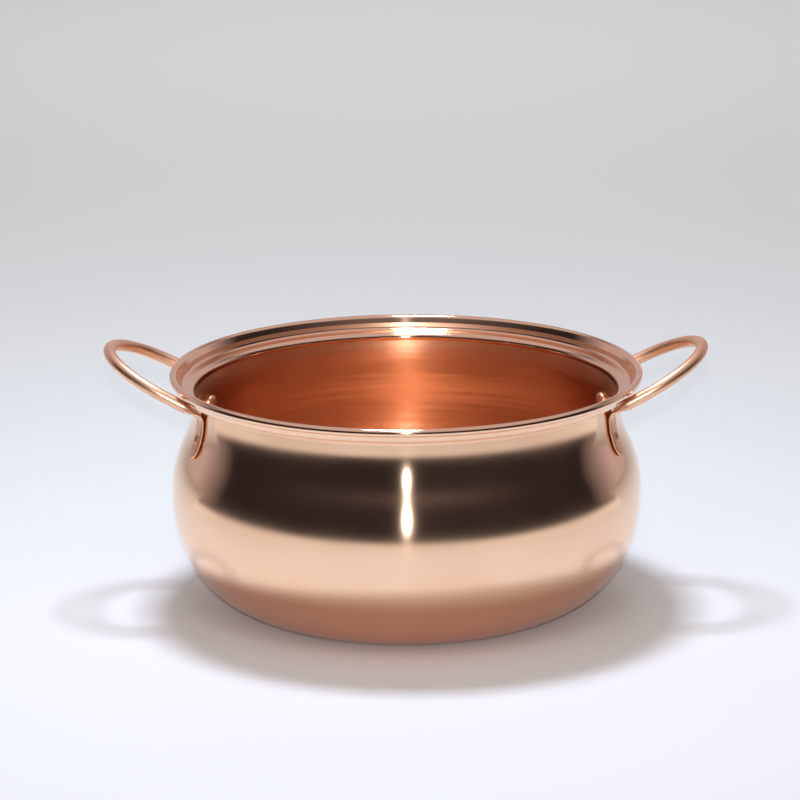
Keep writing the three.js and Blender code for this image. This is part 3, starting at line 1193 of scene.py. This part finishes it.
@dataclass(frozen=True)
class Lamp:
    """A light of the studio."""

    name: str
    shape: LampShape
    place: Vector
    aim: Vector  # way that it shines
    size: tuple[float, float]
    power: float
    tint: str = "FFFFFF"
    in_metal: bool = True  # whether polished metal shows it

    def build(self) -> None:
        """Hang the light."""
        point = self.shape is LampShape.POINT
        light = bpy.data.lights.new(self.name, "POINT" if point else "AREA")
        light.energy = self.power
        light.color = linear(self.tint)[:3]
        if point:
            light.shadow_soft_size = self.size[0]
        else:
            light.shape = self.shape.value
            light.size, light.size_y = self.size
        made = bpy.data.objects.new(self.name, light)
        made.location = self.place
        made.rotation_euler = self.aim.to_track_quat("-Z", "Y").to_euler()
        made.visible_glossy = self.in_metal
        bpy.context.scene.collection.objects.link(made)


LAMPS = (
    Lamp("overhead_panel", LampShape.PANEL, Vector((-0.045, 0.09, 0.88)), -UP,
         size=(0.15, 0.13), power=5.7, tint="E6EFFF"),
    Lamp("backdrop_softbox", LampShape.DISK, Vector((0, 1.75, 1.6)), Vector((0, 0.5, -1)),
         size=(1.5, 1.5), power=14.0, in_metal=False),
    Lamp("front_softbox", LampShape.DISK, Vector((0, -1.5, 2.4)), Vector((0, 1.5, -2.4)),
         size=(0.5, 0.5), power=2.4),
    Lamp("lamp_by_camera", LampShape.POINT, Vector((0, -1.93, 0.67)), Vector((0, 1.93, -0.67)),
         size=(0.02, 0.02), power=54.0),
)


@dataclass
class Studio:
    """Pale floor, lamps, soft light from all round and the camera."""

    floor_reach: float = 6.0
    horizon: float = 0.11  # level of the light from low down
    zenith: float = 0.28  # level of the light from straight above
    zenith_from: float = 0.3  # sine of the elevation where it begins
    front_fill: float = 0.72  # level of the light added from the front
    front_tint: str = "FFE4CE"
    camera_place: Vector = Vector((0, -1.9225, 0.6113))
    camera_pitch: float = radians(14.74)
    camera_yaw: float = radians(0.092)
    camera_roll: float = radians(-0.42)
    camera_lens: float = 176.0  # in mm, as is the sensor
    camera_sensor: float = 36.0

    def add_floor(self) -> None:
        """Lay the pale floor."""
        r = self.floor_reach
        corners = [Vector((x, y, 0)) for x, y in ((-r, -r), (r, -r), (r, r), (-r, r))]
        add_stage_mesh("floor", corners, [(0, 1, 2, 3)], PaperFinish().material())

    def set_world(self) -> None:
        """Fill the room with pale light, brighter overhead and warmer in front."""
        world = bpy.data.worlds.new("pale_room")
        world.use_nodes = True
        world.node_tree.nodes.clear()
        add = partial(add_node, world.node_tree)
        way = add("ShaderNodeTexCoord").outputs["Generated"]
        axes = add("ShaderNodeSeparateXYZ", {0: way})
        level = add("ShaderNodeMapRange", {
            "Value": axes.outputs["Z"],
            "From Min": self.zenith_from,
            "To Min": self.horizon,
            "To Max": self.zenith,
        }, interpolation_type="SMOOTHSTEP")
        front = add("ShaderNodeMapRange", {
            "Value": axes.outputs["Y"], "From Max": -1.0, "To Max": self.front_fill,
        })
        room = add("ShaderNodeBackground", {"Color": WHITE, "Strength": level})
        fill = add("ShaderNodeBackground", {"Color": linear(self.front_tint), "Strength": front})
        both = add("ShaderNodeAddShader", {0: room, 1: fill})
        add("ShaderNodeOutputWorld", {"Surface": both})
        bpy.context.scene.world = world

    def add_camera(self) -> None:
        """Set the camera at the photograph's viewing angle."""
        lens = bpy.data.cameras.new("camera")
        lens.lens = self.camera_lens
        lens.sensor_width = self.camera_sensor
        made = bpy.data.objects.new("camera", lens)
        tilt = Matrix.Rotation(pi / 2 - self.camera_pitch, 4, "X")
        yaw = Matrix.Rotation(self.camera_yaw, 4, "Z")
        roll = Matrix.Rotation(self.camera_roll, 4, "Z")
        made.matrix_world = Matrix.Translation(self.camera_place) @ yaw @ tilt @ roll
        bpy.context.scene.collection.objects.link(made)
        bpy.context.scene.camera = made

    def build(self) -> None:
        """Build the whole studio."""
        self.add_camera()
        self.add_floor()
        RoomGlow().build()
        for lamp in LAMPS:
            lamp.build()
        self.set_world()
        bpy.context.scene.view_settings.view_transform = "Standard"


def main() -> None:
    """Build the pot and its studio in order."""
    logging.basicConfig(level=logging.INFO, format="%(message)s")
    loft = Loft()
    low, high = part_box("vessel")
    vessel = Vessel(rim_radius=(high.x - low.x) / 2, height=high.z)
    vessel.build(loft)
    handle = Handle(vessel)
    rod = DRAWN_ROD.material()
    for side in Side:
        handle.build(loft, side, rod)
    RivetSet(handle).build(loft)
    Studio().build()


if __name__ == "__main__":
    main()
